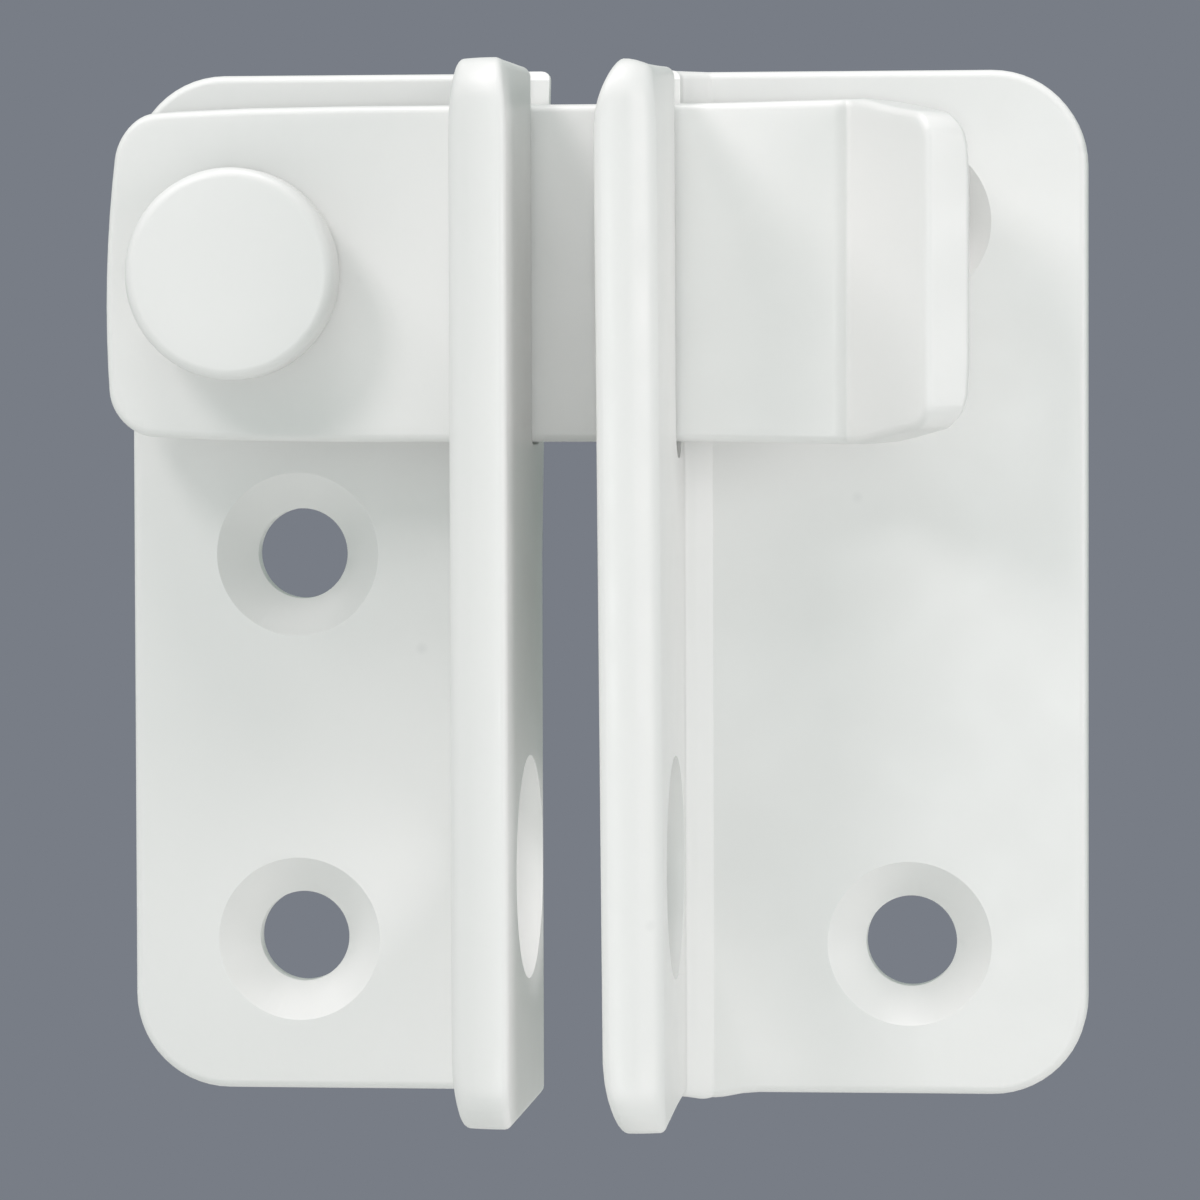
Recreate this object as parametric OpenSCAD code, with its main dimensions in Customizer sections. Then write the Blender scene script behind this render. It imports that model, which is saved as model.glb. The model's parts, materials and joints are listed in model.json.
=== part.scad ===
// Flip gate latch: a flat bar pivots on the door bracket and drops into
// open-topped notches in the two flanges. Millimetres, +Z up, +Y into the wall.
// The origin is midway between the door bracket's two screw holes, on its back face.

/* [Folded brackets] */
// Thickness of the bracket sheet
sheet = 3.2; // [2:0.1:3.5]
// Height of both brackets
plate_h = 56; // [53:0.5:70]
// Depth of the flanges, from the back face
flange_d = 20.6; // [19:0.2:26]
// Width of the door bracket
door_w = 23; // [22.5:0.5:30]
// Width of the keeper bracket
keeper_w = 25.1; // [20:0.1:40]
// Gap between the two flanges
flange_gap = 4.6; // [3:0.1:6]
// Inside radius of the folds
bend_r = 1.9; // [0.8:0.1:2]
// Radius of the free corners of the plates
plate_corner_r = 5.2; // [2:0.1:5.6]
// Radius of the free corners of the flanges
flange_corner_r = 2.2; // [1:0.1:4.5]
// Rounding of all long edges under the paint
edge_r = 0.45; // [0.2:0.05:0.7]

/* [Screw holes] */
// Diameter of the screw holes
screw_d = 5; // [3.5:0.1:5.5]
// Diameter of the countersinks at the front face
sink_d = 9; // [8:0.1:9.4]
// Distance between the door bracket's holes
door_pitch = 21.3; // [18:0.1:23]
// Distance between the keeper bracket's holes
keeper_pitch = 39.5; // [30:0.5:40]
// From the lower end of the door plate to its lower hole
door_hole_end = 8.3; // [7:0.1:8.6]
// From the free edge of the door plate to its holes
door_hole_edge = 9.2; // [8:0.1:9.6]
// From the free edge of the keeper plate to its holes
keeper_hole_edge = 9.7; // [8:0.1:10.5]

/* [Padlock holes] */
// Diameter of the padlock holes in the flanges
padlock_d = 12; // [8:0.5:12.5]
// From the lower end of the flanges to the padlock holes
padlock_end = 13; // [10:0.5:20]
// From the back face to the padlock holes
padlock_y = 10.8; // [10.7:0.1:11.2]

/* [Latch bar] */
// Thickness of the bar
bar_t = 3; // [2:0.1:3.5]
// Height of the bar at its notches
bar_h = 18.2; // [14:0.1:18.6]
// Space between the plate's front face and the bar
bar_gap = 2.8; // [2.4:0.1:3.4]
// From the pivot to the pull end of the bar
bar_tail = 7.5; // [7:0.1:8]
// From the pivot to the fold of the bar's tip
bar_reach = 32.2; // [30:0.1:36]
// Radius of the pull end's corners
bar_corner_r = 1.9; // [1:0.1:3]
// Angle that the tip is folded out of the bar
tip_angle = 51; // [30:1:70]
// Inside radius of the tip's fold
tip_r = 1; // [0.6:0.1:1.5]
// Straight length of the tip past its fold
tip_len = 7.2; // [5:0.1:8]
// Length of the tip past its fold before its sides taper
tip_straight = 0.5; // [0.2:0.1:2]
// Height that the tip's sides taper to at its end
tip_h = 16.4; // [14:0.1:18]
// Radius of the tip's corners
tip_corner_r = 1.3; // [0.8:0.1:2]

/* [Notches] */
// Clearance of a notch on each side of the bar
notch_side = 0.4; // [0.2:0.05:0.5]
// Clearance under the bar in the door flange
notch_under = 0.3; // [0.1:0.1:0.6]
// Extra depth of the notch in the keeper flange
notch_drop = 0.6; // [0:0.1:1]
// Radius of the notch's lower corners
notch_r = 0.8; // [0.4:0.1:1]
// Flare at the notch's mouth
notch_flare = 0.5; // [0.2:0.1:0.8]

/* [Pivot] */
// From the top of the door plate down to the pivot
pivot_drop = 11.05; // [10.8:0.05:11.6]
// How far the pivot lies outside the line of screw holes
pivot_out = 2.1; // [1.5:0.1:2.2]
// Diameter of the pivot's head
head_d = 11.4; // [9:0.1:12]
// Thickness of the pivot's head
head_t = 2.4; // [2:0.1:5]
// Rounding of the head's rim
head_edge_r = 0.6; // [0.3:0.1:1]
// Diameter of the collar under the head
collar_d = 7.5; // [7:0.1:8.5]
// Thickness of the collar under the head
collar_t = 1.8; // [0.3:0.1:2.4]
// Diameter of the pivot's shank
shank_d = 5; // [4:0.1:5.5]
// Diameter of the riveted tail at the back face
tail_d = 6.6; // [6:0.1:7]
// Outside diameter of the spacer behind the bar
spacer_d = 9; // [8:0.1:11]
// Running clearance of the bar round the shank
shank_fit = 0.08; // [0.04:0.01:0.1]
// Clearance of the spacer's bore round the shank
spacer_fit = 0.05; // [0.03:0.01:0.1]
// End play of the bar on each of its faces
end_play = 0.1; // [0.05:0.05:0.2]

/* [Hidden] */
$fn = 56;
hull_fn = 24;
cut = 1;
fold_lap = 1;
fold_thin = 0.02;
white = [0.89, 0.895, 0.88];
fold_r = bend_r + sheet;
low_z = -door_pitch / 2 - door_hole_end;
mid_z = low_z + plate_h / 2;
door_face_x = door_w - door_hole_edge;
keeper_face_x = door_face_x + flange_gap;
keeper_hole_x = keeper_face_x + keeper_w - keeper_hole_edge;
pivot_x = -pivot_out;
pivot_z = low_z + plate_h - pivot_drop;
bar_back = sheet + bar_gap;
bar_front = bar_back + bar_t;
bar_low = pivot_z - bar_h / 2;
notch_w = bar_t + 2 * notch_side;
door_floor = bar_low - notch_under;
keeper_floor = door_floor - notch_drop;
spacer_len = bar_gap - end_play;
tail_depth = (tail_d - shank_d) / 2;
sink_depth = (sink_d - screw_d) / 2;

// Outer end of a sheet with rounded edges, from its middle out to r
module rim_profile(r, t) {
    square([r - edge_r, t]);
    translate([0, edge_r]) square([r, t - 2 * edge_r]);
    for (y = [edge_r, t - edge_r]) translate([r - edge_r, y]) circle(edge_r, $fn = hull_fn);
}

// Section of a sheet t thick and h tall, with its four edges rounded
module sheet_section(t, h) {
    translate([0, edge_r]) square([t, h - 2 * edge_r]);
    translate([edge_r, 0]) square([t - 2 * edge_r, h]);
    for (x = [edge_r, t - edge_r], y = [edge_r, h - edge_r])
        translate([x, y]) circle(edge_r, $fn = hull_fn);
}

// Disc with a rounded rim, its axis along Y, from y = 0 to t
module rim_disc(r, t) {
    rotate([-90, 0, 0]) rotate_extrude() rim_profile(r, t);
}

// Free end of a leaf h tall, with its two corners rounded
module leaf_end(run, t, h, corner_r) {
    translate([run - corner_r, 0, corner_r])
        linear_extrude(h - 2 * corner_r) rim_profile(corner_r, t);
    for (z = [corner_r, h - corner_r]) translate([run - corner_r, 0, z]) rim_disc(corner_r, t);
}

// Straight leaf of a folded sheet: runs along X from its fold to its free end
module leaf(run, t, h, corner_r) {
    rotate([90, 0, 90]) linear_extrude(run - corner_r) sheet_section(t, h);
    leaf_end(run, t, h, corner_r);
}

// Folded blank: the flange's outer face is at x = 0 and the plate runs to x = w
module bracket_blank(w) {
    translate([fold_r, -fold_r, 0]) rotate([0, 0, 90])
        rotate_extrude(angle = 90) translate([bend_r, 0]) sheet_section(sheet, plate_h);
    translate([fold_r, -sheet, 0]) leaf(w - fold_r, sheet, plate_h, plate_corner_r);
    translate([0, -fold_r, 0]) rotate([0, 0, -90])
        leaf(flange_d - fold_r, sheet, plate_h, flange_corner_r);
}

// Countersunk screw hole through a plate, its head at the front
module screw_hole() {
    translate([0, cut, 0]) rotate([90, 0, 0]) cylinder(d = screw_d, h = sheet + 2 * cut);
    translate([0, -sheet - cut, 0]) rotate([-90, 0, 0])
        cylinder(d1 = sink_d + 2 * cut, d2 = screw_d, h = sink_depth + cut);
}

// Padlock hole through a flange whose outer face is at x = 0
module padlock_hole() {
    translate([-cut, -padlock_y, padlock_end]) rotate([0, 90, 0])
        cylinder(d = padlock_d, h = sheet + 2 * cut);
}

// Open-topped notch through a flange whose outer face is at x = 0
module notch(floor_h) {
    half = notch_w / 2;
    rise = plate_h - floor_h;
    translate([-cut, -bar_back - bar_t / 2, floor_h]) rotate([90, 0, 90])
        linear_extrude(sheet + 2 * cut) {
            translate([-half, notch_r]) square([notch_w, rise]);
            translate([notch_r - half, 0]) square([notch_w - 2 * notch_r, notch_r + cut]);
            for (side = [-1, 1]) translate([side * (half - notch_r), notch_r]) circle(notch_r);
            polygon([
                [-half, rise - notch_flare], [-half - notch_flare - cut, rise + cut],
                [half + notch_flare + cut, rise + cut], [half, rise - notch_flare]
            ]);
        }
}

// Door bracket: two screw holes, a padlock hole, the notch and the pivot's seat
module door_bracket() {
    color(white) difference() {
        translate([door_face_x, 0, low_z]) mirror([1, 0, 0]) difference() {
            bracket_blank(door_w);
            padlock_hole();
            notch(door_floor - low_z);
        }
        for (z = [-1, 1] * door_pitch / 2) translate([0, 0, z]) screw_hole();
        translate([pivot_x, cut, pivot_z]) rotate([90, 0, 0])
            cylinder(d = shank_d, h = sheet + 2 * cut);
        translate([pivot_x, cut, pivot_z]) rotate([90, 0, 0])
            cylinder(d1 = tail_d + 2 * cut, d2 = shank_d, h = tail_depth + cut);
    }
}

// Keeper bracket: two screw holes, a padlock hole and the deeper notch
module keeper_bracket() {
    color(white) difference() {
        translate([keeper_face_x, 0, low_z]) difference() {
            bracket_blank(keeper_w);
            padlock_hole();
            notch(keeper_floor - low_z);
        }
        for (z = [-1, 1] * keeper_pitch / 2) translate([keeper_hole_x, 0, mid_z + z]) screw_hole();
    }
}

// What lies outside a rounded side of the bar, whose edge is at y = edge_r
module side_trim() {
    difference() {
        translate([-cut, 0]) square([bar_t + 2 * cut, tip_corner_r + cut]);
        translate([0, -cut]) square([bar_t, cut]);
        translate([edge_r, -cut]) square([bar_t - 2 * edge_r, cut + edge_r]);
        for (x = [edge_r, bar_t - edge_r]) translate([x, 0]) circle(edge_r, $fn = hull_fn);
    }
}

// Fold of the bar's tip, its axis at the origin: it laps a little into both straight lengths
module tip_fold() {
    rotate([0, 0, 90]) mirror([0, 1, 0]) rotate([0, 0, -fold_lap])
        rotate_extrude(angle = tip_angle + 2 * fold_lap)
            translate([tip_r + fold_thin, fold_thin - bar_h / 2])
                sheet_section(bar_t - 2 * fold_thin, bar_h - 2 * fold_thin);
}

// Finger tab past the fold: runs along X, its sides tapered into its rounded corners
module finger_tab() {
    run = tip_len - tip_corner_r;
    taper = atan((bar_h - tip_h) / 2 / (tip_len - tip_straight));
    end_h = bar_h - 2 * (tan(taper) * (run - tip_straight) + tip_corner_r * (1 / cos(taper) - 1));
    difference() {
        translate([0, 0, -bar_h / 2]) rotate([90, 0, 90])
            linear_extrude(run) sheet_section(bar_t, bar_h);
        for (side = [0, 1]) mirror([0, 0, side]) translate([tip_straight, 0, bar_h / 2])
            rotate([0, taper, 0]) translate([0, 0, -edge_r]) rotate([90, 0, 90])
                linear_extrude(tip_len) side_trim();
    }
    translate([0, 0, -end_h / 2]) leaf_end(tip_len, bar_t, end_h, tip_corner_r);
}

// Latch bar: flat length, folded tip and the bore for the pivot
module latch_bar() {
    color(white) translate([pivot_x, -bar_front, pivot_z]) difference() {
        union() {
            translate([bar_reach, 0, -bar_h / 2]) mirror([1, 0, 0])
                leaf(bar_tail + bar_reach, bar_t, bar_h, bar_corner_r);
            translate([bar_reach, -tip_r, 0]) tip_fold();
            translate([bar_reach, -tip_r, 0]) rotate([0, 0, -tip_angle])
                translate([0, tip_r, 0]) finger_tab();
        }
        translate([0, -cut, 0]) rotate([-90, 0, 0])
            cylinder(d = shank_d + 2 * shank_fit, h = bar_t + 2 * cut);
    }
}

// Pivot rivet: broad head, thin collar, shank and the tail set into the plate
module pivot_rivet() {
    collar_y = bar_front + end_play;
    head_y = collar_y + collar_t;
    face_y = head_y + head_t;
    color(white) translate([pivot_x, 0, pivot_z]) rotate([90, 0, 0]) rotate_extrude() {
        square([shank_d / 2, collar_y]);
        polygon([[0, 0], [tail_d / 2, 0], [shank_d / 2, tail_depth], [0, tail_depth]]);
        translate([0, collar_y]) square([collar_d / 2, collar_t]);
        translate([0, head_y]) square([head_d / 2, head_t - head_edge_r]);
        translate([0, head_y]) square([head_d / 2 - head_edge_r, head_t]);
        translate([head_d / 2 - head_edge_r, face_y - head_edge_r]) circle(head_edge_r);
    }
}

// Spacer ring that holds the bar off the plate
module pivot_spacer() {
    color(white) translate([pivot_x, -sheet, pivot_z]) rotate([90, 0, 0])
        rotate_extrude() translate([shank_d / 2 + spacer_fit, 0])
            square([(spacer_d - shank_d) / 2 - spacer_fit, spacer_len]);
}

door_bracket();
keeper_bracket();
latch_bar();
pivot_rivet();
pivot_spacer();
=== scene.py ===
"""Flip gate latch: painted folded-steel pieces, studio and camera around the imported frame."""

import json
import logging
import math
from dataclasses import dataclass, field
from enum import Enum
from typing import Iterable

import bmesh
import bpy
from mathutils import Matrix, Vector


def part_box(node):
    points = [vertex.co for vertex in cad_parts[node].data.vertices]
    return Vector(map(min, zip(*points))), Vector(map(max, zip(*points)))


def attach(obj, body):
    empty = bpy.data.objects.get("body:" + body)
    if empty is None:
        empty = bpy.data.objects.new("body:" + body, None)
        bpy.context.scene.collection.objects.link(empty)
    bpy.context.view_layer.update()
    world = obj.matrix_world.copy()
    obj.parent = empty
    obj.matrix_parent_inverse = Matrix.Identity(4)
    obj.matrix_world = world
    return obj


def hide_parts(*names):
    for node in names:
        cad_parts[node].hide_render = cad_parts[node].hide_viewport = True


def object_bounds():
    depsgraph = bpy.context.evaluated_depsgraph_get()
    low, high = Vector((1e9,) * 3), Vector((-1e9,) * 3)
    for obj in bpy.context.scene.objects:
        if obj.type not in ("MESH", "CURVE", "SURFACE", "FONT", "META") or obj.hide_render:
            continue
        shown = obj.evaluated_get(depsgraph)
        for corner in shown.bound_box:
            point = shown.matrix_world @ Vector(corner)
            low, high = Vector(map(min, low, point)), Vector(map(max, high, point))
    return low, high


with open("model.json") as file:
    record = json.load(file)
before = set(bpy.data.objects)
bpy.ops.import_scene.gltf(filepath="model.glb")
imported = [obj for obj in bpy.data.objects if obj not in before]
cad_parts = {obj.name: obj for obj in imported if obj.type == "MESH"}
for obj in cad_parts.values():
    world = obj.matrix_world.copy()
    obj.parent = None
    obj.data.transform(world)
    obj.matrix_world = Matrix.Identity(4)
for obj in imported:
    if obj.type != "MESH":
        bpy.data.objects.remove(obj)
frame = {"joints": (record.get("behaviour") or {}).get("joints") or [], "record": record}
CAD_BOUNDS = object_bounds()

LOG = logging.getLogger("flip_gate_latch")
MM = 0.001
SHARP = math.radians(32)
MERGE = 1e-7
LEVEL = 1e-6
DIVIDE = 1e-8
DOOR_NOTCH_UNDER = 0.15 * MM
KEEPER_NOTCH_UNDER = 0.9 * MM
NOTCH_AHEAD = 1.9 * MM
ACROSS = Vector((1, 0, 0))
INWARD = Vector((0, 1, 0))
UP = Vector((0, 0, 1))
PIVOT = Vector(frame["joints"][0]["pos_m"])
MOUNTS = {mount["name"]: mount for mount in frame["record"]["mounts"]}

Colour = tuple[float, float, float]
Place = tuple[float, float, float]
Profile = list[tuple[float, float]]
Mesh = bmesh.types.BMesh
Edge = bmesh.types.BMEdge
Face = bmesh.types.BMFace
Socket = bpy.types.NodeSocket
Tree = bpy.types.NodeTree
Material = bpy.types.Material
Object = bpy.types.Object


class Side(Enum):
    """Which way a bracket's plate runs from its flange."""

    LEFT = -1
    RIGHT = 1


@dataclass(frozen=True)
class PowderCoat:
    """Satin white powder coat: a faint orange peel, slow changes of tone and a few dust nibs."""

    colour: Colour = (0.84, 0.835, 0.82)
    shade: Colour = (0.82, 0.82, 0.81)
    nib: Colour = (0.77, 0.77, 0.76)
    roughness: float = 0.42
    roughness_spread: float = 0.07
    tone_size: float = 14 * MM
    peel_size: float = 1.1 * MM
    peel_depth: float = 0.006 * MM
    grain_size: float = 0.16 * MM
    grain_depth: float = 0.0012 * MM
    nib_spacing: float = 8 * MM
    nib_radius: float = 0.05
    nib_core: float = 0.01
    noise_low: float = 0.3
    noise_high: float = 0.7
    cross_turn: float = 0.7
    base_turn: float = 0.3
    index: float = 1.5
    clear_weight: float = 0.06
    clear_roughness: float = 0.25

    def material(self, name: str, turn: float) -> Material:
        """Makes the coat's material.

        Args:
            name: The material's name.
            turn: Angle that turns the pattern, so that two pieces don't share it.

        Returns:
            The new material, on Object coordinates.
        """
        material = bpy.data.materials.new(name)
        material.use_nodes = True
        tree = material.node_tree
        shader = tree.nodes["Principled BSDF"]
        place = self._place(tree, turn)
        tone = self._noise(tree, place, 1 / self.tone_size, 2.0)
        colour = self._mix_colour(tree, tone, self.shade, self.colour)
        nibs = self._nibs(tree, place)
        tree.links.new(self._mix_colour(tree, nibs, self.nib, colour), shader.inputs["Base Color"])
        rough = self._range(tree, self._noise(tree, place, 0.4 / self.peel_size, 3.0))
        tree.links.new(rough, shader.inputs["Roughness"])
        tree.links.new(self._bump(tree, place), shader.inputs["Normal"])
        shader.inputs["Metallic"].default_value = 0.0
        shader.inputs["IOR"].default_value = self.index
        shader.inputs["Coat Weight"].default_value = self.clear_weight
        shader.inputs["Coat Roughness"].default_value = self.clear_roughness
        material.diffuse_color = (*self.colour, 1)
        return material

    def _place(self, tree: Tree, turn: float) -> Socket:
        """Adds the turned Object coordinates.

        Args:
            tree: The material's node tree.
            turn: Angle that turns the pattern.

        Returns:
            The socket with the coordinates.
        """
        coordinates = tree.nodes.new("ShaderNodeTexCoord")
        mapping = tree.nodes.new("ShaderNodeMapping")
        turned = (turn, self.cross_turn * turn, self.base_turn)
        mapping.inputs["Rotation"].default_value = turned
        tree.links.new(coordinates.outputs["Object"], mapping.inputs["Vector"])
        return mapping.outputs["Vector"]

    def _noise(self, tree: Tree, place: Socket, scale: float, detail: float) -> Socket:
        """Adds a noise.

        Args:
            tree: The material's node tree.
            place: The coordinates that the noise reads.
            scale: Waves in a metre.
            detail: Number of octaves.

        Returns:
            The noise's value.
        """
        noise = tree.nodes.new("ShaderNodeTexNoise")
        noise.inputs["Scale"].default_value = scale
        noise.inputs["Detail"].default_value = detail
        tree.links.new(place, noise.inputs["Vector"])
        return noise.outputs["Fac"]

    def _mix_colour(
        self, tree: Tree, factor: Socket, low: Colour, high: "Colour | Socket"
    ) -> Socket:
        """Mixes two colours by a factor.

        Args:
            tree: The material's node tree.
            factor: Socket from 0, the low colour, to 1, the high one.
            low: The colour at 0.
            high: The colour at 1, or a socket that gives it.

        Returns:
            The mixed colour.
        """
        mix = tree.nodes.new("ShaderNodeMix")
        mix.data_type = "RGBA"
        tree.links.new(factor, mix.inputs["Factor"])
        mix.inputs["A"].default_value = (*low, 1)
        if isinstance(high, tuple):
            mix.inputs["B"].default_value = (*high, 1)
        else:
            tree.links.new(high, mix.inputs["B"])
        return mix.outputs["Result"]

    def _nibs(self, tree: Tree, place: Socket) -> Socket:
        """Adds sparse dust nibs.

        Args:
            tree: The material's node tree.
            place: The coordinates that the nibs lie on.

        Returns:
            A socket that is 0 on a nib and 1 beside it.
        """
        cells = tree.nodes.new("ShaderNodeTexVoronoi")
        cells.inputs["Scale"].default_value = 1 / self.nib_spacing
        tree.links.new(place, cells.inputs["Vector"])
        edge = tree.nodes.new("ShaderNodeMapRange")
        edge.inputs["From Min"].default_value = self.nib_core
        edge.inputs["From Max"].default_value = self.nib_radius
        tree.links.new(cells.outputs["Distance"], edge.inputs["Value"])
        return edge.outputs["Result"]

    def _range(self, tree: Tree, value: Socket) -> Socket:
        """Spreads a noise round the coat's roughness.

        Args:
            tree: The material's node tree.
            value: The noise, from 0 to 1.

        Returns:
            The roughness.
        """
        spread = tree.nodes.new("ShaderNodeMapRange")
        spread.inputs["From Min"].default_value = self.noise_low
        spread.inputs["From Max"].default_value = self.noise_high
        spread.inputs["To Min"].default_value = self.roughness - self.roughness_spread
        spread.inputs["To Max"].default_value = self.roughness + self.roughness_spread
        tree.links.new(value, spread.inputs["Value"])
        return spread.outputs["Result"]

    def _bump(self, tree: Tree, place: Socket) -> Socket:
        """Adds the orange peel and the fine grain of the powder.

        Args:
            tree: The material's node tree.
            place: The coordinates that the pattern reads.

        Returns:
            The bumped normal.
        """
        peel = tree.nodes.new("ShaderNodeBump")
        peel.inputs["Distance"].default_value = self.peel_depth
        tree.links.new(self._noise(tree, place, 1 / self.peel_size, 2.0), peel.inputs["Height"])
        grain = tree.nodes.new("ShaderNodeBump")
        grain.inputs["Distance"].default_value = self.grain_depth
        tree.links.new(self._noise(tree, place, 1 / self.grain_size, 1.0), grain.inputs["Height"])
        tree.links.new(peel.outputs["Normal"], grain.inputs["Normal"])
        return grain.outputs["Normal"]


def sharp_edges(mesh: Mesh) -> list[Edge]:
    """Finds the edges that are to be rounded.

    Args:
        mesh: The mesh to look through.

    Returns:
        Those that jut out and turn by more than the sharp angle.
    """
    return [
        e for e in mesh.edges
        if len(e.link_faces) == 2 and e.is_convex and e.calc_face_angle() > SHARP
    ]


def is_level(edge: Edge) -> bool:
    """Says whether both ends of an edge are at one height."""
    return abs(edge.verts[0].co.z - edge.verts[1].co.z) < MERGE


def round_edges(mesh: Mesh, edges: Iterable[Edge], width: float, segments: int) -> None:
    """Rounds edges.

    Args:
        mesh: The mesh that holds them.
        edges: The edges to round.
        width: The radius, measured along the faces.
        segments: Number of facets across the rounding.
    """
    bmesh.ops.bevel(
        mesh, geom=list(edges), offset=width, offset_type="OFFSET", segments=segments,
        profile=0.5, affect="EDGES", material=-1, clamp_overlap=True, miter_outer="ARC",
    )
    bmesh.ops.remove_doubles(mesh, verts=mesh.verts, dist=MERGE)


def raise_slab(mesh: Mesh, height: float) -> None:
    """Raises a flat strip of faces into a slab.

    Args:
        mesh: The mesh that holds nothing but the strip, in the plane Z = 0.
        height: How far it is raised along Z.
    """
    raised = bmesh.ops.extrude_face_region(mesh, geom=list(mesh.faces))
    verts = [v for v in raised["geom"] if isinstance(v, bmesh.types.BMVert)]
    bmesh.ops.translate(mesh, verts=verts, vec=(0, 0, height))
    bmesh.ops.recalc_face_normals(mesh, faces=mesh.faces)


def pull_edge(mesh: Mesh, edge: Edge, step: Vector) -> Edge:
    """Pulls an edge along a step, leaving a face behind it.

    Args:
        mesh: The mesh that holds the edge.
        edge: The edge to pull.
        step: Where it goes.

    Returns:
        The edge at the far side of the new face.
    """
    pulled = bmesh.ops.extrude_edge_only(mesh, edges=[edge])
    verts = [v for v in pulled["geom"] if isinstance(v, bmesh.types.BMVert)]
    bmesh.ops.translate(mesh, verts=verts, vec=step)
    return next(e for e in pulled["geom"] if isinstance(e, Edge))


def turn_edge(mesh: Mesh, edge: Edge, centre: Vector, angle: float, steps: int) -> Edge:
    """Sweeps an edge round a vertical axis.

    Args:
        mesh: The mesh that holds the edge.
        edge: The edge to sweep.
        centre: A point of the axis.
        angle: How far it turns.
        steps: Number of faces along the sweep.

    Returns:
        The edge at the end of the sweep.
    """
    swept = bmesh.ops.spin(
        mesh, geom=[edge, *edge.verts], cent=centre, axis=UP, angle=angle, steps=steps,
        use_merge=False, use_duplicate=False,
    )
    return next(e for e in swept["geom_last"] if isinstance(e, Edge))


def cut_plane(
    mesh: Mesh, point: Vector, normal: Vector, faces: "Iterable[Face] | None" = None
) -> None:
    """Adds a loop of edges where a plane meets the mesh.

    Args:
        mesh: The mesh to divide.
        point: A point of the plane.
        normal: The plane's normal.
        faces: The faces to divide, or None for all of them.
    """
    if faces is None:
        geom = [*mesh.verts, *mesh.edges, *mesh.faces]
    else:
        geom = list({g for f in faces for g in (f, *f.edges, *f.verts)})
    bmesh.ops.bisect_plane(mesh, geom=geom, dist=DIVIDE, plane_co=point, plane_no=normal)


def cylinder(mesh: Mesh, radius: float, centre: Vector, reach: Vector, segments: int) -> None:
    """Adds a closed cylinder.

    Args:
        mesh: The mesh that it is added to.
        radius: Its radius.
        centre: Its middle.
        reach: From its middle to one end.
        segments: Number of sides.
    """
    turn = reach.to_track_quat("Z", "Y").to_matrix().to_4x4()
    bmesh.ops.create_cone(
        mesh, cap_ends=True, cap_tris=False, segments=segments, radius1=radius, radius2=radius,
        depth=2 * reach.length, matrix=Matrix.Translation(centre) @ turn,
    )


def turn_profile(mesh: Mesh, profile: Profile, foot: Vector, axis: Vector, steps: int) -> None:
    """Turns a profile round an axis into a closed solid.

    Args:
        mesh: The mesh that it is added to.
        profile: Pairs of radius and distance along the axis.
        foot: The point of the axis that the distances start from.
        axis: The axis's direction, along Y.
        steps: Number of facets round the axis.
    """
    verts = [mesh.verts.new(foot + ACROSS * r + axis * along) for r, along in profile]
    edges = [mesh.edges.new(pair) for pair in zip(verts, verts[1:])]
    bmesh.ops.spin(
        mesh, geom=[*verts, *edges], cent=foot, axis=axis, angle=2 * math.pi, steps=steps,
        use_merge=True, use_duplicate=False,
    )
    bmesh.ops.remove_doubles(mesh, verts=mesh.verts, dist=LEVEL)


def as_object(mesh: Mesh, name: str) -> Object:
    """Makes an object of a bmesh and frees it.

    Args:
        mesh: The finished bmesh.
        name: The object's name.

    Returns:
        The object, at the origin.
    """
    data = bpy.data.meshes.new(name)
    mesh.to_mesh(data)
    mesh.free()
    piece = bpy.data.objects.new(name, data)
    bpy.context.scene.collection.objects.link(piece)
    return piece


def carve(solid: Mesh, cutter: Mesh) -> Mesh:
    """Takes a cutter's volume out of a solid.

    Args:
        solid: The solid, which is freed.
        cutter: The closed shapes to take out, freed too.

    Returns:
        What is left, as a new bmesh.
    """
    bmesh.ops.recalc_face_normals(cutter, faces=cutter.faces)
    piece = as_object(solid, "solid")
    tool = as_object(cutter, "cutter")
    modifier = piece.modifiers.new("carve", "BOOLEAN")
    modifier.operation = "DIFFERENCE"
    modifier.solver = "EXACT"
    modifier.object = tool
    bpy.context.view_layer.update()
    evaluated = piece.evaluated_get(bpy.context.evaluated_depsgraph_get())
    result = bmesh.new()
    result.from_mesh(evaluated.to_mesh())
    evaluated.to_mesh_clear()
    for spent in (piece, tool):
        data = spent.data
        bpy.data.objects.remove(spent)
        bpy.data.meshes.remove(data)
    bmesh.ops.remove_doubles(result, verts=result.verts, dist=MERGE)
    return result


def finish_piece(mesh: Mesh, material: Material, body: str, node: str) -> Object:
    """Turns a bmesh into a finished piece that stands for a CAD node.

    Args:
        mesh: The finished bmesh, in the row frame.
        material: Its finish.
        body: The body that it rides on.
        node: The CAD node that it replaces.

    Returns:
        The piece.
    """
    bmesh.ops.recalc_face_normals(mesh, faces=mesh.faces)
    for face in mesh.faces:
        face.smooth = True
    piece = as_object(mesh, node + "_dressed")
    piece.data.materials.append(material)
    normals = piece.modifiers.new("weighted_normals", "WEIGHTED_NORMAL")
    normals.weight = 100
    normals.keep_sharp = False
    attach(piece, body)
    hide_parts(node)
    LOG.info("%s: %d faces", piece.name, len(piece.data.polygons))
    return piece


@dataclass(frozen=True)
class EndWear:
    """How far one end of a flange's free edge is drawn in, dropped and stretched."""

    outer: float = 0.0
    inner: float = 0.0
    drop: float = 0.0
    stretch: float = 0.0


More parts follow.
